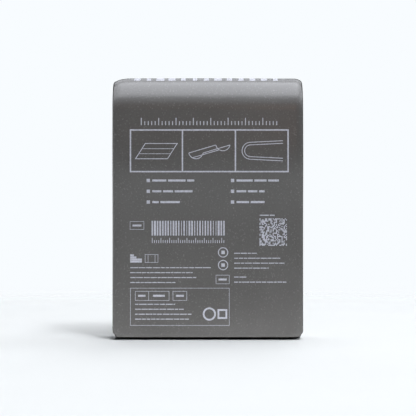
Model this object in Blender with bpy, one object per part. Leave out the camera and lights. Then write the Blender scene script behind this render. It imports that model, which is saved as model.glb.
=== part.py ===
"""Aluminium foam splint, folded flat for storage.

One long strip, a soft aluminium sheet between two sheets of closed-cell foam, is folded over and under itself into a
flat pack that stands on edge. The strip starts at the foot of the front panel, goes over the top, down the back,
under the panel that came before and so on inwards, so each fold lies inside the one before the last.

Metres, +Z up. X runs across the strip, the front panel faces -Y, and the origin is below the middle of the pack.
"""

import math

import bmesh
import bpy

# The strip, as it is before folding
STRIP_LENGTH = 0.8755
STRIP_WIDTH = 0.110
CORNER_RADIUS = 0.004
FOAM_THICKNESS = 0.0018
CORE_THICKNESS = 0.0004
CORE_CORNER_RADIUS = 0.003
# Foam beyond the aluminium on every side, where the two sheets meet
CORE_MARGIN = 0.003
# Air between the aluminium and each sheet, and between the two sheets where they meet
CORE_CLEARANCE = 0.0003
SEAM_GAP = 0.0003
# Each sheet's step down from the pocket to the seam, measured across the strip
POCKET_STEP = 0.0004

# The rounded border, where the foam thins from its full height to a low lip beside the seam
SIDE_RIM_WIDTH = 0.003
END_RIM_WIDTH = 0.0018
RIM_LIP = 0.0005
RIM_STEPS = 4

# The pack, whose height follows from the strip's length and the number of panels
PANELS = 6
LAYER_GAP = 0.0005
# Room between the last panel's end and the fold it points at
END_GAP = 0.001
# Each fold has two quarter-ellipse corners with a flat run between them. The rise is a share of a corner's reach,
# and the flat run a share of the fold's depth.
FOLD_SHAPES = {
    "top": {"rise_share": 1.39, "flat_share": 0.0},
    "bottom": {"rise_share": 1.5, "flat_share": 0.44},
}
# Longest facet along a corner, and the fewest that a corner has
CORNER_FACET = 0.0022
CORNER_FACETS = 6

STRIP_HALF = FOAM_THICKNESS + CORE_CLEARANCE + CORE_THICKNESS / 2
PITCH = 2 * STRIP_HALF + LAYER_GAP
# The tightest bend of the strip's middle that keeps its inner face from folding into itself
TIGHTEST_BEND = STRIP_HALF + LAYER_GAP / 4
# The least distance between the middles of two nested folds
NEST_DISTANCE = PITCH - LAYER_GAP / 4
# Halvings when a nested fold's place is found
NEST_STEPS = 24

# sRGB as seen, turned to linear for the material
FOAM_COLOUR = (0.33, 0.33, 0.335)
ALUMINIUM_COLOUR = (0.80, 0.81, 0.82)


def linear(colour):
    """An sRGB colour as linear RGBA."""
    channels = [c / 12.92 if c <= 0.04045 else ((c + 0.055) / 1.055) ** 2.4 for c in colour]
    return (*channels, 1.0)


def new_material(name, colour, roughness, metallic):
    """A Principled BSDF material."""
    material = bpy.data.materials.new(name)
    material.use_nodes = True
    shader = material.node_tree.nodes["Principled BSDF"]
    shader.inputs["Base Color"].default_value = linear(colour)
    shader.inputs["Roughness"].default_value = roughness
    shader.inputs["Metallic"].default_value = metallic
    return material


def panel_y(panel):
    """Where the middle of a panel stands in the pack. Odd panels fill it from the front, even ones from the back."""
    place = (panel - 1) // 2 if panel % 2 else PANELS - panel // 2
    return (place - (PANELS - 1) / 2) * PITCH


def fold_form(number):
    """The shape of the fold between panel `number` and the next one, in the strip's middle."""
    upper = number % 2 == 1
    shape = FOLD_SHAPES["top" if upper else "bottom"]
    half_depth = (PANELS - number) * PITCH / 2
    reach = min(half_depth, max(half_depth * (1 - shape["flat_share"]), TIGHTEST_BEND))
    rise = min(reach * shape["rise_share"], reach**2 / TIGHTEST_BEND)
    return {
        "side": 1 if upper else -1,
        "y": (panel_y(number) + panel_y(number + 1)) / 2,
        "reach": reach,
        "rise": rise,
        "half_flat": half_depth - reach,
    }


def fold_course(form, crown):
    """Points (y, z) along a fold whose crown is at that height, each with the normal that faces out of the pack."""
    side, reach, rise = form["side"], form["reach"], form["rise"]
    corner_length = math.pi / 2 * math.hypot(reach, rise) / math.sqrt(2)
    facets = max(CORNER_FACETS, round(corner_length / CORNER_FACET))
    course = []
    for first, shift in ((0, form["half_flat"]), (facets, -form["half_flat"])):
        for step in range(facets + 1):
            angle = math.radians(90) * (first + step) / facets
            y = form["y"] - side * (reach * math.cos(angle) + shift)
            z = crown + side * rise * (math.sin(angle) - 1)
            ny, nz = -side * rise * math.cos(angle), side * reach * math.sin(angle)
            size = math.hypot(ny, nz)
            course.append((y, z, ny / size, nz / size))
    if form["half_flat"] < SEAM_GAP:
        del course[facets]
    return course


def distance_to_segment(point, start, end):
    """How far a point (y, z) lies from a straight piece."""
    run_y, run_z = end[0] - start[0], end[1] - start[1]
    share = ((point[0] - start[0]) * run_y + (point[1] - start[1]) * run_z) / (run_y**2 + run_z**2)
    share = min(1.0, max(0.0, share))
    return math.hypot(point[0] - start[0] - share * run_y, point[1] - start[1] - share * run_z)


def nested_crown(form, around, around_crown):
    """The height of an inner fold's crown, pushed up against the fold around it until they are a layer apart."""
    side = form["side"]
    outer = [point[:2] for point in fold_course(around, around_crown)]
    skirt = 2 * PITCH + around["rise"]
    outer.insert(0, (outer[0][0], outer[0][1] - side * skirt))
    outer.append((outer[-1][0], outer[-1][1] - side * skirt))
    inner = fold_course(form, 0.0)
    least, most = PITCH / 2, PITCH / 2 + skirt
    for _ in range(NEST_STEPS):
        drop = (least + most) / 2
        crown = around_crown - side * drop
        nearest = min(
            distance_to_segment((y, z + crown), start, end)
            for y, z, _, _ in inner
            for start, end in zip(outer, outer[1:])
        )
        if nearest < NEST_DISTANCE:
            least = drop
        else:
            most = drop
    return around_crown - side * most


def folded_course(height):
    """The whole course of the strip's middle in a pack that high, each point after its distance from the strip's
    outer end, which is the foot of the front panel."""
    points = [(panel_y(1), 0.0, -1.0, 0.0)]
    forms, crowns = [], []
    for number in range(1, PANELS):
        form = fold_form(number)
        if number > 2:
            crown = nested_crown(form, forms[-2], crowns[-2])
        else:
            crown = height - STRIP_HALF if form["side"] > 0 else STRIP_HALF
        forms.append(form)
        crowns.append(crown)
        points += fold_course(form, crown)
    heading = -1 if PANELS % 2 == 0 else 1
    end = crowns[-2] - heading * (STRIP_HALF + END_GAP)
    points.append((panel_y(PANELS), end, -heading, 0.0))
    stations, run = [], 0.0
    for before, point in zip([points[0], *points], points):
        run += math.dist(point[:2], before[:2])
        stations.append((run, *point))
    return stations


def strip_course():
    """The strip's course in a pack just so high that its panels and folds take up the strip's length."""
    trial = STRIP_LENGTH / PANELS
    spare = STRIP_LENGTH - folded_course(trial)[-1][0]
    return folded_course(trial + spare / PANELS)


def station_at(stations, run):
    """The course's point and normal at a distance along the strip."""
    for near, far in zip(stations, stations[1:]):
        if far[0] >= run:
            share = (run - near[0]) / (far[0] - near[0])
            y, z, ny, nz = (a + (b - a) * share for a, b in zip(near[1:], far[1:]))
            size = math.hypot(ny, nz)
            return run, y, z, ny / size, nz / size
    return stations[-1]


def sliced(stations, first, last, end_runs):
    """Stations between two distances along the strip, with more of them at both ends."""
    wanted = {first + run for run in end_runs} | {last - run for run in end_runs}
    reach = max(end_runs)
    wanted |= {station[0] for station in stations if first + reach < station[0] < last - reach}
    return [station_at(stations, run) for run in sorted(wanted)]


def rounded(distance, width):
    """The share of its full height that a rounded rim has, at a distance in from the edge."""
    return math.sqrt(1 - (1 - min(distance / width, 1.0)) ** 2)


def half_width(full, radius, distance):
    """Half of the sheet's width, less towards its rounded corners, at a distance from the sheet's end."""
    return full - radius * (1 - rounded(distance, radius))


def foam_section(from_end):
    """Outline (x, height over the strip's middle) of a foam sheet, at a distance from the strip's end."""
    seam = SEAM_GAP / 2
    lip = seam + RIM_LIP
    edge = half_width(STRIP_WIDTH / 2, CORNER_RADIUS, from_end)
    crown = (STRIP_HALF - lip) * rounded(from_end, END_RIM_WIDTH)
    side = []
    for step in range(RIM_STEPS + 1):
        angle = math.radians(90) * step / RIM_STEPS
        side.append((edge - SIDE_RIM_WIDTH * (1 - math.cos(angle)), lip + crown * math.sin(angle)))
    pocket_depth = seam
    if from_end >= CORE_MARGIN - CORE_CLEARANCE:
        pocket_depth = CORE_THICKNESS / 2 + CORE_CLEARANCE
    border = min(STRIP_WIDTH / 2 - CORE_MARGIN + CORE_CLEARANCE + POCKET_STEP, edge - RIM_LIP)
    pocket = [(edge, seam), (border, seam), (border - POCKET_STEP, pocket_depth)]
    right = [(x, height) for x, height in reversed(side)] + pocket
    left = [(-x, height) for x, height in reversed(right)]
    return left + right


def core_section(from_end):
    """Outline of the aluminium sheet, at a distance from its own end."""
    edge = half_width(STRIP_WIDTH / 2 - CORE_MARGIN, CORE_CORNER_RADIUS, from_end)
    low, high = -CORE_THICKNESS / 2, CORE_THICKNESS / 2
    return [(-edge, low), (-edge, high), (edge, high), (edge, low)]


def lofted(name, stations, section, facing, material, collection, parent):
    """A sheet lofted along the course, its section drawn at each station on the side that faces out or in."""
    start = stations[0][0]
    end = stations[-1][0]
    bm = bmesh.new()
    rings = []
    for run, y, z, ny, nz in stations:
        outline = section(min(run - start, end - run))
        rings.append([bm.verts.new((x, y + h * facing * ny, z + h * facing * nz)) for x, h in outline])
    for near, far in zip(rings, rings[1:]):
        for index in range(len(near)):
            after = (index + 1) % len(near)
            bm.faces.new((near[index], near[after], far[after], far[index]))
    bm.faces.new(rings[0])
    bm.faces.new(rings[-1])
    bmesh.ops.recalc_face_normals(bm, faces=bm.faces)
    bmesh.ops.triangulate(bm, faces=bm.faces)
    mesh = bpy.data.meshes.new(name)
    bm.to_mesh(mesh)
    bm.free()
    mesh.shade_smooth()
    mesh.set_sharp_from_angle(angle=math.radians(40))
    mesh.materials.append(material)
    sheet = bpy.data.objects.new(name, mesh)
    collection.objects.link(sheet)
    sheet.parent = parent
    return sheet


def end_runs(radius, *more):
    """Distances from a sheet's end at which its rounding needs a section."""
    corner = [radius * (1 - math.cos(math.radians(90) * step / RIM_STEPS)) for step in range(RIM_STEPS + 1)]
    return sorted({round(run, 7) for run in (*corner, *more)})


def main():
    for old in list(bpy.data.objects):
        bpy.data.objects.remove(old, do_unlink=True)
    collection = bpy.data.collections.new("Aluminium foam splint")
    bpy.context.scene.collection.children.link(collection)
    pack = bpy.data.objects.new("pack", None)
    collection.objects.link(pack)

    foam = new_material("closed_cell_foam", FOAM_COLOUR, 0.45, 0.0)
    aluminium = new_material("soft_aluminium", ALUMINIUM_COLOUR, 0.3, 1.0)

    stations = strip_course()
    rim = [END_RIM_WIDTH * (1 - math.cos(math.radians(90) * step / RIM_STEPS)) for step in range(RIM_STEPS + 1)]
    pocket_end = CORE_MARGIN - CORE_CLEARANCE
    foam_runs = end_runs(CORNER_RADIUS, *rim, pocket_end - POCKET_STEP, pocket_end)
    end = stations[-1][0]
    foam_stations = sliced(stations, 0.0, end, foam_runs)
    lofted("outer_foam", foam_stations, foam_section, 1, foam, collection, pack)
    lofted("inner_foam", foam_stations, foam_section, -1, foam, collection, pack)
    core_stations = sliced(stations, CORE_MARGIN, end - CORE_MARGIN, end_runs(CORE_CORNER_RADIUS))
    lofted("aluminium_core", core_stations, core_section, 1, aluminium, collection, pack)


main()
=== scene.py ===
"""The looks of an aluminium foam splint, folded flat and standing on edge.

Every soft piece is modelled flat, as the strip is before it is folded: x runs across it, y is the distance from its
outer end and z the height over its middle. One Geometry Nodes tree then lays the flat pieces along the strip's folded
course, so the foam, the aluminium and the ink bend together.
"""

import math

import bmesh
import bpy
import numpy as np
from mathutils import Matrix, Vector


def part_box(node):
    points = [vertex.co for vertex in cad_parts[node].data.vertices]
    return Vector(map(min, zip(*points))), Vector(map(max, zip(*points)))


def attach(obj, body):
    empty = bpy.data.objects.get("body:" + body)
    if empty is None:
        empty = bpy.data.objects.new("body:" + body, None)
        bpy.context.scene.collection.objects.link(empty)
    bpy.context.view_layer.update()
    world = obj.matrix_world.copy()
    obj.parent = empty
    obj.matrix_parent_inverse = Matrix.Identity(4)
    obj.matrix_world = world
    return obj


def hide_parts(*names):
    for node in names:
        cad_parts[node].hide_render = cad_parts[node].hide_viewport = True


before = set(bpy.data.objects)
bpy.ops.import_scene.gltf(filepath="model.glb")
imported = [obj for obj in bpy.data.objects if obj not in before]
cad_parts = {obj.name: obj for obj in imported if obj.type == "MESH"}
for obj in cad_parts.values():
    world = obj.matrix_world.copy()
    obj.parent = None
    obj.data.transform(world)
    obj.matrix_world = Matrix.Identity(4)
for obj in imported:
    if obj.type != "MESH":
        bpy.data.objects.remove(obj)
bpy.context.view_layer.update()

PACK_LOW, PACK_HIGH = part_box("outer_foam")
MM = 0.001

# The strip, in metres, as the solids have it
STRIP_WIDTH = PACK_HIGH.x - PACK_LOW.x + 0.1 * MM
PACK_HEIGHT = PACK_HIGH.z
PANELS = 6
FOAM_THICKNESS = 1.8 * MM
CORE_THICKNESS = 0.4 * MM
CORE_CLEARANCE = 0.3 * MM
CORE_MARGIN = 3.0 * MM
CORE_CORNER_RADIUS = 3.0 * MM
SEAM_GAP = 0.3 * MM
POCKET_STEP = 0.4 * MM
CORNER_RADIUS = 4.0 * MM
END_GAP = 1.0 * MM
STRIP_HALF = FOAM_THICKNESS + CORE_CLEARANCE + CORE_THICKNESS / 2
PITCH = (PACK_HIGH.y - PACK_LOW.y - 2 * STRIP_HALF) / (PANELS - 1)
LAYER_GAP = PITCH - 2 * STRIP_HALF
TIGHTEST_BEND = STRIP_HALF + LAYER_GAP / 4
NEST_DISTANCE = PITCH - LAYER_GAP / 4
FOLD_SHAPES = {
    "top": {"rise_share": 1.39, "flat_share": 0.0},
    "bottom": {"rise_share": 1.5, "flat_share": 0.44},
}

# The foam's border: rounded at the edge, then a margin that slopes up to the groove where the aluminium stops
RIM_LIP = 0.5 * MM
RIM_WIDTH = 0.9 * MM
END_RIM_WIDTH = 0.5 * MM
MARGIN = {
    "left": {"width": 3.5 * MM, "drop": 0.45 * MM, "groove": 0.05 * MM},
    "right": {"width": 3.2 * MM, "drop": 0.9 * MM, "groove": 0.12 * MM},
}
GROOVE_HALF_WIDTH = 0.45 * MM
# The front panel's end is this far off the floor, so that a dark gap shows under it
FOOT_GAP = 1.5 * MM

# How fine the meshes are
FOLD_FACET = 0.7 * MM
PANEL_FACET = 2.4 * MM
RIM_STRETCH = 8 * MM
MIDDLE_COLUMNS = 17


def panel_y(panel):
    """Where the middle of a panel stands in the pack. Odd panels fill it from the front, even ones from the back."""
    place = (panel - 1) // 2 if panel % 2 else PANELS - panel // 2
    return (place - (PANELS - 1) / 2) * PITCH


def fold_form(number):
    """The shape of the fold between a panel and the next one, in the strip's middle."""
    upper = number % 2 == 1
    shape = FOLD_SHAPES["top" if upper else "bottom"]
    half_depth = (PANELS - number) * PITCH / 2
    reach = min(half_depth, max(half_depth * (1 - shape["flat_share"]), TIGHTEST_BEND))
    return {
        "side": 1 if upper else -1,
        "y": (panel_y(number) + panel_y(number + 1)) / 2,
        "reach": reach,
        "rise": min(reach * shape["rise_share"], reach**2 / TIGHTEST_BEND),
        "half_flat": half_depth - reach,
    }


def fold_course(form, crown, facet):
    """Points (y, z) along a fold whose crown is at that height."""
    corner_length = math.pi / 2 * math.hypot(form["reach"], form["rise"]) / math.sqrt(2)
    facets = max(6, round(corner_length / facet))
    angles = np.radians(np.linspace(0, 90, facets + 1))
    corners = []
    for turn, shift in ((0, form["half_flat"]), (math.pi / 2, -form["half_flat"])):
        y = form["y"] - form["side"] * (form["reach"] * np.cos(angles + turn) + shift)
        z = crown + form["side"] * form["rise"] * (np.sin(angles + turn) - 1)
        corners.append(np.column_stack((y, z)))
    if form["half_flat"] < SEAM_GAP:
        corners[0] = corners[0][:-1]
    return np.vstack(corners)


def nearest(points, line):
    """The least distance from any of the points to a line of straight pieces."""
    starts, runs = line[:-1], np.diff(line, axis=0)
    offsets = points[:, None] - starts[None]
    shares = np.clip((offsets * runs).sum(2) / (runs**2).sum(1), 0, 1)
    return np.sqrt(((offsets - shares[..., None] * runs) ** 2).sum(2)).min()


def nested_crown(form, around, around_crown):
    """The height of an inner fold's crown, pushed up against the fold around it until they are a layer apart."""
    side = form["side"]
    outer = fold_course(around, around_crown, 3 * FOLD_FACET)
    skirt = 2 * PITCH + around["rise"]
    down = np.array([0, -side * skirt])
    outer = np.vstack((outer[0] + down, outer, outer[-1] + down))
    inner = fold_course(form, 0.0, 3 * FOLD_FACET)
    least, most = PITCH / 2, PITCH / 2 + skirt
    for _ in range(24):
        drop = (least + most) / 2
        if nearest(inner + [0, around_crown - side * drop], outer) < NEST_DISTANCE:
            least = drop
        else:
            most = drop
    return around_crown - side * most


def folded_course():
    """Points (y, z) of the strip's middle from the foot of the front panel inwards, and each fold's first and last
    distance along the strip."""
    parts = [np.array([[panel_y(1), 0.0]])]
    forms, crowns = [], []
    for number in range(1, PANELS):
        form = fold_form(number)
        if number > 2:
            crown = nested_crown(form, forms[-2], crowns[-2])
        else:
            crown = PACK_HEIGHT - STRIP_HALF if form["side"] > 0 else STRIP_HALF
        forms.append(form)
        crowns.append(crown)
        parts.append(fold_course(form, crown, FOLD_FACET))
    parts.append(np.array([[panel_y(PANELS), crowns[-2] + STRIP_HALF + END_GAP]]))
    points = np.vstack(parts)
    runs = np.concatenate(([0], np.cumsum(np.linalg.norm(np.diff(points, axis=0), axis=1))))
    folds, first = [], 1
    for form, part in zip(forms, parts[1:]):
        folds.append({"first": runs[first], "last": runs[first + len(part) - 1], "side": form["side"]})
        first += len(part)
    return points, runs, folds


COURSE, RUNS, FOLDS = folded_course()
STRIP_LENGTH = RUNS[-1]
for fold in FOLDS:
    fold["crown"] = (fold["first"] + fold["last"]) / 2
    fold["half"] = (fold["last"] - fold["first"]) / 2

# Soft unevenness of the strip. Waves are shared by all its pieces, so none cuts into another.
WAVE_HEIGHT = 0.13 * MM
SIDE_DRIFT = 0.35 * MM
# Where along the strip its front and back panels bulge outwards, how far, and over how long a stretch
BULGES = (
    {"crest": 103.0 * MM, "height": 1.4 * MM, "reach": 21.0 * MM},
    {"crest": 235.0 * MM, "height": 0.8 * MM, "reach": 34.0 * MM},
)
# How far the border is drawn in and sinks where the strip goes over a fold, and how wide a stretch of it does
FOLD_EDGE = {
    "left": {"drawn_in": -0.1 * MM, "sinks": 2.0 * MM, "width": 10.0 * MM},
    "right": {"drawn_in": 0.1 * MM, "sinks": 0.7 * MM, "width": 4.5 * MM},
}

# How far the rims of the lower folds are tucked in at the floor, and how fast that fades higher up and further in
FOOT_TUCK = {"left": 1.2 * MM, "right": 0.15 * MM, "fades_over": 2.2 * MM, "width": 10.0 * MM}


def settled(x, run):
    """How far a point of the strip is off its even place, across it and over its middle."""
    x, run = np.asarray(x, float), np.asarray(run, float)
    across = SIDE_DRIFT * np.sin(run / (61 * MM)) * np.clip((run - PACK_HEIGHT) / PACK_HEIGHT, 0, 1)
    over = 0.5 * WAVE_HEIGHT * np.sin(x / (13 * MM) + run / (24 * MM) + 0.6)
    over += 0.5 * WAVE_HEIGHT * np.sin(x / (-21 * MM) + run / (15 * MM) + 2.1)
    over *= np.clip(run / (12 * MM), 0, 1) * np.clip((STRIP_LENGTH - run) / (12 * MM), 0, 1)
    for bulge in BULGES:
        over += bulge["height"] * np.exp(-(((run - bulge["crest"]) / bulge["reach"]) ** 2))
    for side, sign in (("left", -1), ("right", 1)):
        edge = FOLD_EDGE[side]
        near_rim = np.clip(1 - (STRIP_WIDTH / 2 - sign * x) / edge["width"], 0, 1) ** 2
        for fold in FOLDS:
            if fold["side"] < 0:
                continue
            reach = fold["half"] * 0.5
            on_fold = np.exp(-(((run - fold["crown"]) / reach) ** 2))
            share = near_rim * on_fold * min(1.0, fold["half"] / (16 * MM))
            across -= sign * edge["drawn_in"] * share
            over -= edge["sinks"] * share
        height = np.interp(run, RUNS, COURSE[:, 1]) - STRIP_HALF
        tuck = np.exp(-np.clip(height, 0, None) / FOOT_TUCK["fades_over"]) * (run > FOLDS[0]["crown"])
        inset = STRIP_WIDTH / 2 - sign * x
        across -= sign * FOOT_TUCK[side] * tuck * np.clip(1 - inset / FOOT_TUCK["width"], 0, 1) ** 2
    return across, over


def rounded(distance, width):
    """The share of its full height that a rounded rim has, at a distance in from the edge."""
    return math.sqrt(1 - (1 - min(max(distance, 0.0) / width, 1.0)) ** 2)


def half_width(full, radius, distance):
    """Half of the sheet's width, less towards its rounded corners, at a distance from the sheet's end."""
    return full - radius * (1 - rounded(distance, radius))


def strip_stations(first, last, end_steps):
    """Distances along the strip for a sheet's sections: close in the folds and at both ends."""
    wanted = {round(first + step, 7) for step in end_steps} | {round(last - step, 7) for step in end_steps}
    reach = max(end_steps)
    edges = [first + reach, *(r for f in FOLDS for r in (f["first"], f["last"])), last - reach]
    for index, (near, far) in enumerate(zip(edges, edges[1:])):
        facet = FOLD_FACET if index % 2 else PANEL_FACET
        count = max(2, round((far - near) / facet))
        wanted |= {round(float(r), 7) for r in np.linspace(near, far, count + 1)}
    return sorted(wanted)


def foam_section(from_end):
    """Outline (x, height) of a foam sheet over the strip's middle, at a distance from the strip's end."""
    seam = SEAM_GAP / 2
    lip = seam + RIM_LIP
    edge = half_width(STRIP_WIDTH / 2, CORNER_RADIUS, from_end)
    crown = (STRIP_HALF - lip) * rounded(from_end, END_RIM_WIDTH)
    top = []
    for side, sign in (("left", -1), ("right", 1)):
        margin = MARGIN[side]
        steps = [RIM_WIDTH * (1 - math.cos(math.radians(90) * step / 8)) for step in range(9)]
        steps += [margin["width"] + share * GROOVE_HALF_WIDTH for share in (-2, -1, -0.4, 0, 0.4, 1, 1.8, 3)]
        half = []
        for inset in sorted({*steps, RIM_STRETCH}):
            groove = math.exp(-(((inset - margin["width"]) / GROOVE_HALF_WIDTH) ** 2))
            lost = margin["drop"] * max(0.0, 1 - inset / margin["width"]) + margin["groove"] * groove
            half.append((sign * (edge - inset), lip + max(crown - lost, 0.0) * rounded(inset, RIM_WIDTH)))
        top.append(half)
    middle = edge - RIM_STRETCH
    inner = [(x, lip + crown) for x in np.linspace(-middle, middle, MIDDLE_COLUMNS)[1:-1]]
    outline = top[0] + inner + top[1][::-1]
    depth = seam
    if from_end >= CORE_MARGIN - CORE_CLEARANCE:
        depth = CORE_THICKNESS / 2 + CORE_CLEARANCE
    border = min(STRIP_WIDTH / 2 - CORE_MARGIN + CORE_CLEARANCE + POCKET_STEP, edge - RIM_LIP)
    pocket = [(edge, seam), (border, seam), (border - POCKET_STEP, depth)]
    pocket += [(x, depth) for x in np.linspace(middle, -middle, MIDDLE_COLUMNS // 2)]
    pocket += [(-border + POCKET_STEP, depth), (-border, seam), (-edge, seam)]
    return outline + pocket


def core_section(from_end):
    """Outline of the aluminium sheet, at a distance from its own end."""
    edge = half_width(STRIP_WIDTH / 2 - CORE_MARGIN, CORE_CORNER_RADIUS, from_end)
    half = CORE_THICKNESS / 2
    columns = np.linspace(-edge, edge, 17)
    return [(x, half) for x in columns] + [(x, -half) for x in columns[::-1]]


def flat_sheet(name, section, facing, first, last, end_steps):
    """A sheet of the strip, lofted flat with every point already off its even place."""
    stations = strip_stations(first, last, end_steps)
    bm = bmesh.new()
    rings = []
    for run in stations:
        outline = np.array(section(min(run - first, last - run)))
        across, over = settled(outline[:, 0], run)
        ring = [bm.verts.new((x + dx, run, facing * h + dh)) for (x, h), dx, dh in zip(outline, across, over)]
        rings.append(ring)
    for near, far in zip(rings, rings[1:]):
        for index in range(len(near)):
            after = (index + 1) % len(near)
            bm.faces.new((near[index], near[after], far[after], far[index]))
    bm.faces.new(rings[0])
    bm.faces.new(rings[-1])
    bmesh.ops.recalc_face_normals(bm, faces=bm.faces)
    mesh = bpy.data.meshes.new(name)
    bm.to_mesh(mesh)
    bm.free()
    mesh.shade_smooth()
    mesh.set_sharp_from_angle(angle=math.radians(38))
    return mesh


def add(tree, kind, inputs=None, **settings):
    """Adds a node. Inputs go by name or number, and each is a value or another node's output."""
    node = tree.nodes.new(kind)
    for key, value in settings.items():
        setattr(node, key, value)
    for key, value in (inputs or {}).items():
        if isinstance(value, bpy.types.NodeSocket):
            tree.links.new(value, node.inputs[key])
        else:
            node.inputs[key].default_value = value
    return node


def new_tree(name, sockets):
    """An empty Geometry Nodes tree with its named inputs, and the nodes at both its ends."""
    tree = bpy.data.node_groups.new(name, "GeometryNodeTree")
    tree.interface.new_socket("Geometry", in_out="OUTPUT", socket_type="NodeSocketGeometry")
    for label, kind, value in sockets:
        socket = tree.interface.new_socket(label, in_out="INPUT", socket_type=kind)
        if value is not None:
            socket.default_value = value
    return tree, add(tree, "NodeGroupInput").outputs, add(tree, "NodeGroupOutput").inputs


def finish_tree(tree, geometry, material, out):
    """Every tree ends with its instances realized and its material set."""
    real = add(tree, "GeometryNodeRealizeInstances", {"Geometry": geometry})
    painted = add(tree, "GeometryNodeSetMaterial", {"Geometry": real.outputs[0], "Material": material})
    tree.links.new(painted.outputs[0], out[0])


def run_tree(name, tree, values, mesh=None):
    """The plain mesh that a tree makes from its named values."""
    holder = bpy.data.objects.new(name + "_source", mesh or bpy.data.meshes.new(name + "_source"))
    bpy.context.scene.collection.objects.link(holder)
    modifier = holder.modifiers.new("tree", "NODES")
    modifier.node_group = tree
    for item in tree.interface.items_tree:
        if item.in_out == "INPUT" and item.name in values:
            modifier[item.identifier] = values[item.name]
    graph = bpy.context.evaluated_depsgraph_get()
    made = bpy.data.meshes.new_from_object(holder.evaluated_get(graph), depsgraph=graph)
    made.name = name
    bpy.data.objects.remove(holder, do_unlink=True)
    return made


def fold_tree():
    """Lays a flat mesh along the folded course: its y becomes the distance along it and its z the height over it."""
    tree, given, out = new_tree("fold_along_course", (
        ("Geometry", "NodeSocketGeometry", None),
        ("Course", "NodeSocketObject", None),
        ("Material", "NodeSocketMaterial", None),
    ))
    flat = add(tree, "ShaderNodeSeparateXYZ", {0: add(tree, "GeometryNodeInputPosition").outputs[0]}).outputs
    course = add(tree, "GeometryNodeObjectInfo", {"Object": given["Course"]})
    sample = add(
        tree, "GeometryNodeSampleCurve", {"Curves": course.outputs["Geometry"], "Length": flat[1]},
        mode="LENGTH", use_all_curves=True,
    )
    side = add(tree, "ShaderNodeVectorMath", {0: (1, 0, 0), 1: sample.outputs["Tangent"]}, operation="CROSS_PRODUCT")
    lift = add(tree, "ShaderNodeVectorMath", {0: side.outputs[0], "Scale": flat[2]}, operation="SCALE")
    across = add(tree, "ShaderNodeCombineXYZ", {"X": flat[0]})
    place = add(tree, "ShaderNodeVectorMath", {0: sample.outputs["Position"], 1: lift.outputs[0]}, operation="ADD")
    place = add(tree, "ShaderNodeVectorMath", {0: place.outputs[0], 1: across.outputs[0]}, operation="ADD")
    moved = add(tree, "GeometryNodeSetPosition", {"Geometry": given["Geometry"], "Position": place.outputs[0]})
    finish_tree(tree, moved.outputs[0], given["Material"], out)
    return tree


def course_curve():
    """The course as a curve object in the plane across the middle of the strip."""
    curve = bpy.data.curves.new("course", "CURVE")
    curve.dimensions = "3D"
    spline = curve.splines.new("POLY")
    spline.points.add(len(COURSE) - 1)
    for point, (y, z) in zip(spline.points, COURSE):
        point.co = (0.0, y, z, 1.0)
    guide = bpy.data.objects.new("course", curve)
    bpy.context.scene.collection.objects.link(guide)
    return guide


def hex_colour(code, alpha=1.0):
    """An sRGB hex colour as linear RGBA."""
    channels = [int(code[i : i + 2], 16) / 255 for i in (1, 3, 5)]
    linear = [c / 12.92 if c <= 0.04045 else ((c + 0.055) / 1.055) ** 2.4 for c in channels]
    return (*linear, alpha)


def new_material(name):
    """An empty node material, its tree and its Principled shader."""
    material = bpy.data.materials.new(name)
    material.use_nodes = True
    tree = material.node_tree
    return material, tree, tree.nodes["Principled BSDF"]


def link(tree, source, shader, socket):
    tree.links.new(source, shader.inputs[socket])


def skinned_foam():
    """Closed-cell polyethylene foam with its moulded skin on. It looks like dull leather: a fine orange peel about
    half a millimetre wide, satin, a shade uneven from one cell cluster to the next."""
    material, tree, shader = new_material("closed_cell_polyethylene_foam")
    place = add(tree, "ShaderNodeTexCoord").outputs["Object"]
    # The peel, and the clusters under it. One render pixel is 0.58 mm, so the peel is drawn 0.9 mm wide.
    peel = add(tree, "ShaderNodeTexNoise", {"Vector": place, "Scale": 1 / (0.9 * MM), "Detail": 1.0, "Roughness": 0.4})
    cells = add(tree, "ShaderNodeTexVoronoi", {"Vector": place, "Scale": 1 / (1.3 * MM)}, feature="SMOOTH_F1")
    cloud = add(tree, "ShaderNodeTexNoise", {"Vector": place, "Scale": 1 / (22 * MM), "Detail": 2.0})
    grain = add(tree, "ShaderNodeMix", {"Factor": 0.35, 2: peel.outputs[0], 3: cells.outputs["Distance"]})
    tone = add(tree, "ShaderNodeMix", {"Factor": 0.45, 2: grain.outputs[0], 3: cloud.outputs[0]})
    shade = add(tree, "ShaderNodeValToRGB", {"Fac": tone.outputs[0]})
    shade.color_ramp.elements[0].position = 0.3
    shade.color_ramp.elements[0].color = hex_colour("#494847")
    shade.color_ramp.elements[1].position = 0.7
    shade.color_ramp.elements[1].color = hex_colour("#525150")
    link(tree, shade.outputs[0], shader, "Base Color")
    gloss = add(tree, "ShaderNodeMapRange", {"Value": peel.outputs[0], "To Min": 0.22, "To Max": 0.3})
    link(tree, gloss.outputs[0], shader, "Roughness")
    bump = add(tree, "ShaderNodeBump", {"Height": peel.outputs[0], "Strength": 0.25, "Distance": 0.12 * MM})
    link(tree, bump.outputs[0], shader, "Normal")
    shader.inputs["IOR"].default_value = 1.5
    return material


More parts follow.
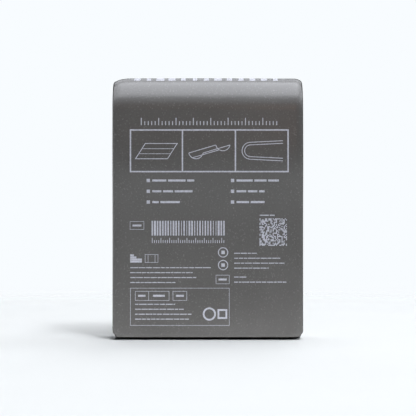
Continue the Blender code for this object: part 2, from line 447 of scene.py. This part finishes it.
def rolled_aluminium():
    """Annealed aluminium sheet as rolled: dull silver, with fine lines along the strip."""
    material, tree, shader = new_material("annealed_aluminium_sheet")
    place = add(tree, "ShaderNodeTexCoord").outputs["Object"]
    stretch = add(tree, "ShaderNodeMapping", {"Vector": place, "Scale": (1, 0.02, 0.02)})
    lines = add(tree, "ShaderNodeTexNoise", {"Vector": stretch.outputs[0], "Scale": 1 / (0.4 * MM), "Detail": 2.0})
    shade = add(tree, "ShaderNodeValToRGB", {"Fac": lines.outputs[0]})
    shade.color_ramp.elements[0].color = hex_colour("#B9BCBF")
    shade.color_ramp.elements[1].color = hex_colour("#D6D8DA")
    link(tree, shade.outputs[0], shader, "Base Color")
    gloss = add(tree, "ShaderNodeMapRange", {"Value": lines.outputs[0], "To Min": 0.28, "To Max": 0.42})
    link(tree, gloss.outputs[0], shader, "Roughness")
    shader.inputs["Metallic"].default_value = 1.0
    return material


def screen_ink():
    """Screen-printed vinyl ink, pale lilac grey and matt, a little thin on the peel's crests."""
    material, tree, shader = new_material("screen_printed_vinyl_ink")
    place = add(tree, "ShaderNodeTexCoord").outputs["Object"]
    thin = add(tree, "ShaderNodeTexNoise", {"Vector": place, "Scale": 1 / (0.9 * MM), "Detail": 3.0})
    shade = add(tree, "ShaderNodeValToRGB", {"Fac": thin.outputs[0]})
    shade.color_ramp.elements[0].position = 0.34
    shade.color_ramp.elements[0].color = hex_colour("#9698A2")
    shade.color_ramp.elements[1].position = 0.6
    shade.color_ramp.elements[1].color = hex_colour("#AEB0BC")
    link(tree, shade.outputs[0], shader, "Base Color")
    bump = add(tree, "ShaderNodeBump", {"Height": thin.outputs[0], "Strength": 0.25, "Distance": 0.1 * MM})
    link(tree, bump.outputs[0], shader, "Normal")
    shader.inputs["Roughness"].default_value = 0.5
    shader.inputs["IOR"].default_value = 1.5
    return material


# The print, in millimetres: x from the strip's middle, z up from the foot of the front panel
INK_UNDER = 0.02 * MM
INK_OVER = 0.035 * MM
INK_PIECE = 3.0
FRAME_LINE = 0.8
THIN_LINE = 0.24
# Rows of plain bars: the left end, the top row's middle, the row spacing, the bar's height and each row's length
BAR_ROWS = (
    {"x": -35.2, "z": 91.9, "step": 6.2, "height": 1.2, "lengths": (27.4, 26.4, 19.1), "bullet": 1.9},
    {"x": 13.3, "z": 91.9, "step": 6.2, "height": 1.2, "lengths": (27.6, 19.4, 19.4), "bullet": 1.9},
    {"x": -44.7, "z": 41.7, "step": 2.85, "height": 0.5, "lengths": (46.5, 36.0, 38.0, 26.0), "bullet": 0},
    {"x": 15.2, "z": 50.0, "step": 2.85, "height": 0.5, "lengths": (13.0, 26.5, 29.0, 20.0), "bullet": 0},
    {"x": 15.2, "z": 36.3, "step": 2.9, "height": 0.5, "lengths": (7.0, 30.1), "bullet": 0},
    {"x": -41.9, "z": 20.6, "step": 2.85, "height": 0.5, "lengths": (23.0, 28.0, 32.5, 31.0), "bullet": 0},
    {"x": 29.9, "z": 71.9, "step": 1.0, "height": 0.6, "lengths": (8.6,), "bullet": 0},
)
# Boxes: left, right, low and high side, line width, and where the upright lines inside it stand
BOXES = (
    {"x": (-44.9, 46.6), "z": (96.6, 121.4), "line": FRAME_LINE, "uprights": (-14.6, 15.9)},
    {"x": (-44.9, -36.7), "z": (63.6, 68.4), "line": THIN_LINE, "uprights": ()},
    {"x": (4.6, 12.5), "z": (32.3, 37.5), "line": THIN_LINE, "uprights": ()},
    {"x": (-44.7, 12.5), "z": (8.3, 30.0), "line": THIN_LINE, "uprights": ()},
    {"x": (-41.9, -22.2), "z": (22.7, 28.2), "line": THIN_LINE, "uprights": (-34.1,)},
    {"x": (-20.2, -12.0), "z": (22.7, 28.2), "line": THIN_LINE, "uprights": ()},
    {"x": (-36.2, -28.6), "z": (44.6, 49.4), "line": THIN_LINE, "uprights": (-34.4, -30.4)},
    {"x": (5.6, 11.2), "z": (12.2, 17.8), "line": 1.0, "uprights": ()},
)
# Short bars that stand alone in small boxes: left end, right end and middle height
LONE_BARS = (
    {"x": (-43.4, -38.2), "z": 66.0},
    {"x": (-44.7, -38.0), "z": 45.2},
    {"x": (-44.7, -38.0), "z": 46.4},
    {"x": (-44.7, -41.2), "z": 47.6},
    {"x": (-44.7, -42.6), "z": 48.8},
    {"x": (6.2, 10.9), "z": 34.9},
    {"x": (-40.2, -35.9), "z": 25.5},
    {"x": (-31.6, -24.8), "z": 25.5},
    {"x": (-18.4, -13.8), "z": 25.5},
)
RINGS = (
    {"x": 8.8, "z": 50.5, "radius": 2.7, "line": 0.5, "dot": 1.0},
    {"x": 8.8, "z": 43.2, "radius": 2.7, "line": 0.5, "dot": 1.0},
    {"x": 0.9, "z": 15.0, "radius": 3.3, "line": 1.0, "dot": 0.0},
)


def stroke(bm, points, width):
    """A band of ink that wide along a line of points (x, z), closed at both ends, on the strip laid flat."""
    points = np.array(points, float)
    path = [points[0]]
    for near, far in zip(points, points[1:]):
        count = max(1, math.ceil(np.linalg.norm(far - near) / INK_PIECE))
        path += [near + (far - near) * step / count for step in range(1, count + 1)]
    path = np.array(path)
    loop = np.allclose(path[0], path[-1])
    pieces = np.diff(path, axis=0)
    pieces /= np.linalg.norm(pieces, axis=1)[:, None]
    rings = []
    for index, point in enumerate(path):
        before = pieces[index - 1] if index or loop else pieces[0]
        after = pieces[index] if index < len(pieces) else (pieces[0] if loop else pieces[-1])
        along = before + after
        along /= np.linalg.norm(along)
        mitre = width / 2 / max(0.4, float(along @ after))
        side = np.array([-along[1], along[0]]) * mitre
        ring = []
        for sign, height in ((1, -INK_UNDER), (1, INK_OVER), (-1, INK_OVER), (-1, -INK_UNDER)):
            x, run = (point + sign * side) * MM
            across, over = settled(x, run)
            ring.append(bm.verts.new((x + across, run, STRIP_HALF + over + height)))
        rings.append(ring)
    for near, far in zip(rings, rings[1:]):
        for index in range(4):
            after = (index + 1) % 4
            bm.faces.new((near[index], near[after], far[after], far[index]))
    bm.faces.new(rings[0])
    bm.faces.new(rings[-1])


def bar(bm, x_range, z, height):
    """A level bar of ink."""
    stroke(bm, [(x_range[0], z), (x_range[1], z)], height)


def arc(centre, radius, first, last, steps):
    """Points on an arc, its angles in degrees from +x."""
    angles = np.radians(np.linspace(first, last, steps + 1))
    return np.column_stack((centre[0] + radius * np.cos(angles), centre[1] + radius * np.sin(angles)))


def word_bars(bm, row, draws):
    """A row of plain bars of uneven length that fill each row's length."""
    for index, length in enumerate(row["lengths"]):
        z = row["z"] - index * row["step"]
        x, end = row["x"], row["x"] + length
        if row["bullet"]:
            bar(bm, (x, x + row["bullet"]), z, row["bullet"])
            x += row["bullet"] * 1.7
        while x < end - row["height"]:
            reach = min(end, x + row["height"] * draws.uniform(3.0, 9.0))
            if end - reach < row["height"] * 2.5:
                reach = end
            bar(bm, (x, reach), z, row["height"])
            x = reach + row["height"] * 0.8


def box_lines(bm, box):
    """A box drawn with lines, and the uprights inside it."""
    (left, right), (low, high), line = box["x"], box["z"], box["line"]
    inset = line / 2
    corners = [(left, low), (right, low), (right, high), (left, high), (left, low)]
    corners = [(x + (inset if x == left else -inset), z + (inset if z == low else -inset)) for x, z in corners]
    stroke(bm, corners, line)
    for x in box["uprights"]:
        stroke(bm, [(x, low + line), (x, high - line)], line)


def strip_drawings(bm):
    """Line drawings of what such a strip can be bent into, one for each of the three cells: a flat strip seen at a
    slant, a trough and a hairpin."""
    line = 0.42
    stroke(bm, [(-41.6, 104.4), (-23.2, 104.4), (-17.6, 113.2), (-36.0, 113.2), (-41.6, 104.4)], line)
    stroke(bm, [(-39.7, 107.3), (-21.3, 107.3)], line * 0.7)
    stroke(bm, [(-37.9, 110.2), (-19.5, 110.2)], line * 0.7)
    run, rise = 15.5, 4.6
    for shift in (0, 1):
        stroke(bm, arc((-6.8 + shift * run, 108.6 + shift * rise), 4.2, 192, 348, 16), line)
    for angle in (192, 240, 348):
        x, z = arc((-6.8, 108.6), 4.2, angle, angle, 1)[0]
        stroke(bm, [(x, z), (x + run, z + rise)], line)
    for radius in (3.4, 4.9):
        bend = arc((24.6, 109.0), radius, 90, 270, 18)
        stroke(bm, [(43.2, 109.0 + radius + 0.9), *bend, (43.2, 109.0 - radius - 0.9)], line)


def flat_print():
    """All the drawn ink of the front panel, laid flat."""
    draws = np.random.default_rng(7)
    bm = bmesh.new()
    for row in BAR_ROWS:
        word_bars(bm, row, draws)
    for box in BOXES:
        box_lines(bm, box)
    for lone in LONE_BARS:
        bar(bm, lone["x"], lone["z"], 1.1)
    for ring in RINGS:
        stroke(bm, arc((ring["x"], ring["z"]), ring["radius"], 0, 360, 28), ring["line"])
        if ring["dot"]:
            bar(bm, (ring["x"] - ring["dot"], ring["x"] + ring["dot"]), ring["z"], 2 * ring["dot"])
    strip_drawings(bm)
    bmesh.ops.recalc_face_normals(bm, faces=bm.faces)
    mesh = bpy.data.meshes.new("flat_print")
    bm.to_mesh(mesh)
    bm.free()
    return mesh


def rule_tree():
    """A row of upright marks on the flat strip, every so many of them taller, as on a rule."""
    tree, given, out = new_tree("rule_marks", (
        ("Start", "NodeSocketVector", None),
        ("Count", "NodeSocketInt", 10),
        ("Spacing", "NodeSocketFloat", 2 * MM),
        ("Mark Width", "NodeSocketFloat", 0.4 * MM),
        ("Least Height", "NodeSocketFloat", 2 * MM),
        ("Added Height", "NodeSocketFloat", 2 * MM),
        ("Taller Every", "NodeSocketInt", 5),
        ("Uneven", "NodeSocketFloat", 0.0),
        ("Points Along", "NodeSocketInt", 3),
        ("Ink Depth", "NodeSocketFloat", INK_UNDER + INK_OVER),
        ("Seed", "NodeSocketInt", 3),
        ("Material", "NodeSocketMaterial", None),
    ))
    index = add(tree, "GeometryNodeInputIndex").outputs[0]
    step = add(tree, "ShaderNodeCombineXYZ", {"X": given["Spacing"]})
    line = add(tree, "GeometryNodeMeshLine", {
        "Count": given["Count"], "Start Location": given["Start"], "Offset": step.outputs[0]}, mode="OFFSET")
    turn = add(tree, "ShaderNodeMath", {0: index, 1: given["Taller Every"]}, operation="MODULO")
    tall = add(tree, "ShaderNodeMath", {0: turn.outputs[0], 1: 0.5}, operation="LESS_THAN")
    height = add(tree, "ShaderNodeMath", {
        0: tall.outputs[0], 1: given["Added Height"], 2: given["Least Height"]}, operation="MULTIPLY_ADD")
    uneven = add(tree, "FunctionNodeRandomValue", {"Max": given["Uneven"], "ID": index, "Seed": given["Seed"]})
    width = add(tree, "ShaderNodeMath", {0: uneven.outputs[1], 1: given["Mark Width"]}, operation="ADD")
    size = add(tree, "ShaderNodeCombineXYZ", {
        "X": width.outputs[0], "Y": height.outputs[0], "Z": given["Ink Depth"]})
    block = add(tree, "GeometryNodeMeshCube", {"Size": (1, 1, 1), "Vertices Y": given["Points Along"]})
    marks = add(tree, "GeometryNodeInstanceOnPoints", {
        "Points": line.outputs[0], "Instance": block.outputs[0], "Scale": size.outputs[0]})
    half = add(tree, "ShaderNodeVectorMath", {0: size.outputs[0], 1: (0, 0.5, 0)}, operation="MULTIPLY")
    stood = add(tree, "GeometryNodeTranslateInstances", {
        "Instances": marks.outputs[0], "Translation": half.outputs[0], "Local Space": False})
    finish_tree(tree, stood.outputs[0], given["Material"], out)
    return tree


def chequer_tree():
    """A square of small ink blocks, a share of them left out by chance."""
    tree, given, out = new_tree("chequer_blocks", (
        ("Centre", "NodeSocketVector", None),
        ("Side", "NodeSocketFloat", 16 * MM),
        ("Blocks Each Way", "NodeSocketInt", 15),
        ("Filled Share", "NodeSocketFloat", 0.5),
        ("Ink Depth", "NodeSocketFloat", INK_UNDER + INK_OVER),
        ("Seed", "NodeSocketInt", 11),
        ("Material", "NodeSocketMaterial", None),
    ))
    grid = add(tree, "GeometryNodeMeshGrid", {
        "Size X": given["Side"], "Size Y": given["Side"],
        "Vertices X": given["Blocks Each Way"], "Vertices Y": given["Blocks Each Way"]})
    moved = add(tree, "GeometryNodeSetPosition", {"Geometry": grid.outputs[0], "Offset": given["Centre"]})
    chosen = add(tree, "FunctionNodeRandomValue", {
        "Probability": given["Filled Share"], "Seed": given["Seed"]}, data_type="BOOLEAN")
    gaps = add(tree, "ShaderNodeMath", {0: given["Blocks Each Way"], 1: 1.0}, operation="SUBTRACT")
    spacing = add(tree, "ShaderNodeMath", {0: given["Side"], 1: gaps.outputs[0]}, operation="DIVIDE")
    width = add(tree, "ShaderNodeMath", {0: spacing.outputs[0], 1: 0.96}, operation="MULTIPLY")
    size = add(tree, "ShaderNodeCombineXYZ", {"X": width.outputs[0], "Y": width.outputs[0], "Z": given["Ink Depth"]})
    block = add(tree, "GeometryNodeMeshCube", {"Size": (1, 1, 1)})
    blocks = add(tree, "GeometryNodeInstanceOnPoints", {
        "Points": moved.outputs[0], "Selection": chosen.outputs[3],
        "Instance": block.outputs[0], "Scale": size.outputs[0]})
    finish_tree(tree, blocks.outputs[0], given["Material"], out)
    return tree


def add_piece(name, mesh, *replaced):
    """A finished piece of the object that rides on its one body."""
    piece = bpy.data.objects.new(name, mesh)
    bpy.context.scene.collection.objects.link(piece)
    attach(piece, "root")
    if replaced:
        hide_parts(*replaced)
    return piece


def settle_mesh(mesh):
    """Moves a flat mesh's points off their even places, with the foam under them."""
    points = np.empty(len(mesh.vertices) * 3)
    mesh.vertices.foreach_get("co", points)
    points = points.reshape(-1, 3)
    across, over = settled(points[:, 0], points[:, 1])
    points[:, 0] += across
    points[:, 2] += over
    mesh.vertices.foreach_set("co", points.ravel())
    return mesh


def build_strip():
    """The foam, the aluminium and the ink, each made flat and folded."""
    tree, course = fold_tree(), course_curve()
    foam, aluminium, ink = skinned_foam(), rolled_aluminium(), screen_ink()

    def folded(name, flat, material):
        return run_tree(name, tree, {"Course": course, "Material": material}, flat)

    rim_steps = [END_RIM_WIDTH * (1 - math.cos(math.radians(90) * step / 7)) for step in range(8)]
    rim_steps += [CORNER_RADIUS * share for share in (0.003, 0.015, 0.04, 0.6, 0.8, 1.0)]
    rim_steps += [CORE_MARGIN - CORE_CLEARANCE - POCKET_STEP, CORE_MARGIN - CORE_CLEARANCE]
    for name, facing in (("outer_foam", 1), ("inner_foam", -1)):
        flat = flat_sheet(name + "_flat", foam_section, facing, FOOT_GAP, STRIP_LENGTH, sorted(rim_steps))
        piece = add_piece(name + "_sheet", folded(name + "_sheet", flat, foam), name)
    core_steps = [CORE_CORNER_RADIUS * share for share in (0, 0.05, 0.2, 0.5, 1.0)]
    flat = flat_sheet("core_flat", core_section, 1, FOOT_GAP + CORE_MARGIN, STRIP_LENGTH - CORE_MARGIN, core_steps)
    core = add_piece("aluminium_core_sheet", folded("aluminium_core_sheet", flat, aluminium), "aluminium_core")

    middle = STRIP_HALF + (INK_OVER - INK_UNDER) / 2
    rows = rule_tree()
    printed = {
        "front_drawing": flat_print(),
        "front_rule": run_tree("front_rule", rows, {
            "Start": (-38.3 * MM, 123.8 * MM, middle), "Count": 40, "Spacing": 2.0 * MM, "Mark Width": 0.5 * MM,
            "Least Height": 2.3 * MM, "Added Height": 1.9 * MM, "Taller Every": 5, "Material": ink}),
        "front_stripes": run_tree("front_stripes", rows, {
            "Start": (-32.0 * MM, 60.2 * MM, middle), "Count": 28, "Spacing": 1.53 * MM, "Mark Width": 0.3 * MM,
            "Least Height": 8.5 * MM, "Added Height": 0.0, "Taller Every": 4, "Uneven": 0.9 * MM, "Seed": 5,
            "Material": ink}),
        "front_ticks": run_tree("front_ticks", rows, {
            "Start": (-32.0 * MM, 55.9 * MM, middle), "Count": 34, "Spacing": 1.25 * MM, "Mark Width": 0.4 * MM,
            "Least Height": 1.7 * MM, "Added Height": 1.3 * MM, "Taller Every": 4, "Material": ink}),
        "front_blocks": run_tree("front_blocks", chequer_tree(), {
            "Centre": (37.7 * MM, 62.2 * MM, middle), "Side": 15.2 * MM, "Blocks Each Way": 25,
            "Filled Share": 0.5, "Material": ink}),
        "fold_marks": run_tree("fold_marks", rows, {
            "Start": (-41.0 * MM, FOLDS[0]["crown"] - 5.4 * MM, middle), "Count": 13, "Spacing": 6.7 * MM,
            "Mark Width": 2.4 * MM, "Least Height": 8.0 * MM, "Added Height": 2.0 * MM, "Taller Every": 2,
            "Uneven": 2.4 * MM, "Seed": 9,
            "Points Along": 17,
            "Material": ink}),
    }
    for name, flat in printed.items():
        if name != "front_drawing":
            settle_mesh(flat)
        piece = add_piece(name, folded(name, flat, ink))
    bpy.data.objects.remove(course, do_unlink=True)


# The camera stands level with the middle of the pack, square on. The photograph's frame is 416 pixels wide.
PHOTO_WIDTH = 416
PACK_PIXELS = 190.9
PACK_MIDDLE_PIXEL = 207.8
FLOOR_PIXEL = 340.05
CAMERA_DISTANCE = 0.85
SENSOR = 0.036


def set_camera():
    """A long lens, level, aimed so that the pack fills the frame as in the photograph."""
    pixel = (PACK_HIGH.x - PACK_LOW.x) / PACK_PIXELS
    lens = bpy.data.cameras.new("camera")
    lens.sensor_width = SENSOR * 1000
    lens.lens = SENSOR * CAMERA_DISTANCE / (PHOTO_WIDTH * pixel) * 1000
    lens.clip_start, lens.clip_end = 0.05, 50
    camera = bpy.data.objects.new("camera", lens)
    height = (FLOOR_PIXEL - PHOTO_WIDTH / 2) * pixel
    aside = (PHOTO_WIDTH / 2 - PACK_MIDDLE_PIXEL) * pixel
    camera.location = (aside, PACK_LOW.y - CAMERA_DISTANCE, height)
    camera.rotation_euler = (math.radians(90), 0, 0)
    bpy.context.scene.collection.objects.link(camera)
    bpy.context.scene.camera = camera


# What the camera sees behind everything, and the room as the object sees it
BACKGROUND = "#F8FCFF"
ROOM = {"table": 1.36, "front": 0.01, "back": 0.02, "above": 0.01}
# Lights, each a rectangle that is flat along one axis and faces the pack. The lamps light what is matt, and the
# softbox and the cards only show in the gloss.
LAMPS = (
    {"name": "front_left", "radiance": 8.5, "x": (0.26, 0.95), "y": (-3.55, -2.1), "z": (4.0, 4.0)},
    {"name": "front_right", "radiance": 31.3, "x": (0.95, 1.65), "y": (-3.55, -2.1), "z": (4.0, 4.0)},
    {"name": "near_right", "radiance": 17.2, "x": (0.95, 1.65), "y": (-2.1, -0.7), "z": (4.0, 4.0)},
    {"name": "side_near", "radiance": 2.7, "x": (1.02, 2.86), "y": (-0.66, 0.8), "z": (4.0, 4.0)},
    {"name": "side_far", "radiance": 5.1, "x": (1.02, 2.86), "y": (0.8, 2.25), "z": (4.0, 4.0)},
    {"name": "top_left", "radiance": 4.5, "x": (-1.09, 0.07), "y": (0.0, 2.08), "z": (4.0, 4.0)},
    {"name": "top_right", "radiance": 0.7, "x": (0.07, 1.24), "y": (0.0, 2.08), "z": (4.0, 4.0)},
    {"name": "back_right", "radiance": 6.1, "x": (0.07, 1.24), "y": (2.08, 4.16), "z": (4.0, 4.0)},
    {"name": "back_wide", "radiance": 1.2, "x": (-2.5, 2.5), "y": (4.16, 8.0), "z": (4.0, 4.0)},
)
SKY, TAN = "#F5F8FF", "#FFC9AC"
REFLECTED = (
    {"name": "softbox_front_left", "radiance": 7.0, "x": (-0.3, 0.1), "y": (-0.84, -0.45), "z": (0.95, 0.95), "hue": SKY},
    {"name": "softbox_front_right", "radiance": 8.5, "x": (0.1, 0.38), "y": (-0.8, -0.45), "z": (0.95, 0.95), "hue": SKY},
    {"name": "softbox_middle_left", "radiance": 7.2, "x": (-0.3, 0.1), "y": (-0.45, 0.25), "z": (0.95, 0.95), "hue": SKY},
    {"name": "softbox_middle_right", "radiance": 8.7, "x": (0.1, 0.38), "y": (-0.45, 0.25), "z": (0.95, 0.95), "hue": SKY},
    {"name": "softbox_back", "radiance": 2.45, "x": (-0.5, 0.7), "y": (0.25, 1.2), "z": (0.95, 0.95), "hue": SKY},
    {"name": "left_wing", "radiance": 4.7, "x": (-1.3, -0.3), "y": (-0.84, 0.25), "z": (0.95, 0.95), "hue": SKY},
    {"name": "right_wing", "radiance": 5.2, "x": (0.38, 1.4), "y": (-0.84, 0.25), "z": (0.95, 0.95), "hue": SKY},
    {"name": "left_high", "radiance": 3.0, "x": (-0.9, -0.9), "y": (-0.9, -0.1), "z": (0.35, 0.9), "hue": SKY},
    {"name": "right_high", "radiance": 2.5, "x": (0.9, 0.9), "y": (-0.9, -0.1), "z": (0.35, 0.9), "hue": SKY},
    {"name": "left_card", "radiance": 2.5, "x": (-0.9, -0.9), "y": (-0.9, 1.0), "z": (0.0, 0.2), "hue": SKY},
    {"name": "front_high", "radiance": 1.45, "x": (-1.4, 1.4), "y": (-1.5, -1.5), "z": (0.88, 1.62), "hue": SKY},
    {"name": "front_card", "radiance": 0.25, "x": (-1.4, 1.4), "y": (-1.5, -1.5), "z": (0.45, 0.88), "hue": TAN},
    {"name": "warm_card", "radiance": 2.4, "x": (0.09, 0.42), "y": (-1.45, -1.45), "z": (0.42, 0.64), "hue": TAN},
)
CARDS = (
    {"name": "near_card", "radiance": 1.21, "off": (-0.0005, 0.07), "width": 0.26},
    {"name": "far_card", "radiance": 0.52, "off": (0.02, 0.14), "width": 0.30},
)
FLOOR_WHITE = 0.87
FLOOR_RADIUS = 1.4
FLOOR_FADE = (0.22, 0.55)


def set_room():
    """The world: the pale background for the camera, and for light a pale table and wall in a dark room."""
    world = bpy.data.worlds.new("room")
    bpy.context.scene.world = world
    world.use_nodes = True
    tree = world.node_tree
    tree.nodes.clear()
    way = add(tree, "ShaderNodeSeparateXYZ", {0: add(tree, "ShaderNodeTexCoord").outputs["Generated"]}).outputs
    behind = add(tree, "ShaderNodeMapRange", {"Value": way[1], "From Min": -0.25, "From Max": 0.35})
    wall = add(tree, "ShaderNodeMix", {"Factor": behind.outputs[0], 2: ROOM["front"], 3: ROOM["back"]})
    raised = add(tree, "ShaderNodeMapRange", {"Value": way[2], "From Min": 0.45, "From Max": 0.8})
    upper = add(tree, "ShaderNodeMix", {"Factor": raised.outputs[0], 2: wall.outputs[0], 3: ROOM["above"]})
    sunk = add(tree, "ShaderNodeMapRange", {"Value": way[2], "From Min": 0.02, "From Max": -0.03})
    light = add(tree, "ShaderNodeMix", {"Factor": sunk.outputs[0], 2: upper.outputs[0], 3: ROOM["table"]})
    lit = add(tree, "ShaderNodeBackground", {"Color": hex_colour(BACKGROUND), "Strength": light.outputs[0]})
    seen = add(tree, "ShaderNodeBackground", {"Color": hex_colour(BACKGROUND)})
    camera_ray = add(tree, "ShaderNodeLightPath").outputs["Is Camera Ray"]
    both = add(tree, "ShaderNodeMixShader", {0: camera_ray, 1: lit.outputs[0], 2: seen.outputs[0]})
    add(tree, "ShaderNodeOutputWorld", {"Surface": both.outputs[0]})


def white_table():
    """White paper on a table, which fades into the background."""
    material, tree, shader = new_material("white_paper")
    tree.nodes.remove(shader)
    place = add(tree, "ShaderNodeTexCoord").outputs["Object"]
    away = add(tree, "ShaderNodeVectorMath", {0: place}, operation="LENGTH")
    fade = add(tree, "ShaderNodeMapRange", {
        "Value": away.outputs["Value"], "From Min": FLOOR_FADE[0], "From Max": FLOOR_FADE[1]},
        interpolation_type="SMOOTHSTEP")
    paper = add(tree, "ShaderNodeBsdfDiffuse", {"Color": [c * FLOOR_WHITE for c in hex_colour(BACKGROUND)[:3]] + [1]})
    clear = add(tree, "ShaderNodeBsdfTransparent")
    both = add(tree, "ShaderNodeMixShader", {0: fade.outputs[0], 1: paper.outputs[0], 2: clear.outputs[0]})
    tree.links.new(both.outputs[0], tree.nodes["Material Output"].inputs["Surface"])
    return material


def add_light(name, radiance, corners, diffuse=True, gloss=True, colour="#FFFFFF"):
    """A rectangular light, flat along one axis, that faces the pack along it. The camera doesn't see it."""
    low, high = (Vector(corner) for corner in zip(*corners))
    middle, size = (low + high) / 2, high - low
    flat = min(range(3), key=lambda axis: size[axis])
    facing = Vector()
    facing[flat] = math.copysign(1, PACK_HEIGHT / 2 * (flat == 2) - middle[flat])
    lamp = bpy.data.lights.new(name, "AREA")
    lamp.shape = "RECTANGLE"
    lamp.size, lamp.size_y = (size[axis] for axis in range(3) if axis != flat)
    lamp.energy = radiance * math.pi * lamp.size * lamp.size_y
    lamp.color = hex_colour(colour)[:3]
    light = bpy.data.objects.new(name, lamp)
    light.location = middle
    light.rotation_euler = facing.to_track_quat("-Z", "Y").to_euler()
    light.visible_camera = False
    light.visible_diffuse, light.visible_glossy = diffuse, gloss
    bpy.context.scene.collection.objects.link(light)


def set_stage():
    """The table, the lamps over it, what shows in the gloss, and small white cards before the pack's foot."""
    bm = bmesh.new()
    bmesh.ops.create_circle(bm, cap_ends=True, radius=FLOOR_RADIUS, segments=96)
    mesh = bpy.data.meshes.new("table_top")
    bm.to_mesh(mesh)
    bm.free()
    mesh.materials.append(white_table())
    table = bpy.data.objects.new("table_top", mesh)
    bpy.context.scene.collection.objects.link(table)

    for lamp in LAMPS:
        add_light(lamp["name"], lamp["radiance"], (lamp["x"], lamp["y"], lamp["z"]), gloss=False)
    for card in REFLECTED:
        corners = (card["x"], card["y"], card["z"])
        add_light(card["name"], card["radiance"], corners, diffuse=False, colour=card["hue"])
    for card in CARDS:
        near, far = card["off"]
        reach = (PACK_LOW.y - far, PACK_LOW.y - near)
        corners = ((-card["width"] / 2, card["width"] / 2), reach, (0.5 * MM, 0.5 * MM))
        add_light(card["name"], card["radiance"], corners)


bpy.context.scene.view_settings.view_transform = "Standard"
set_camera()
set_room()
set_stage()
build_strip()
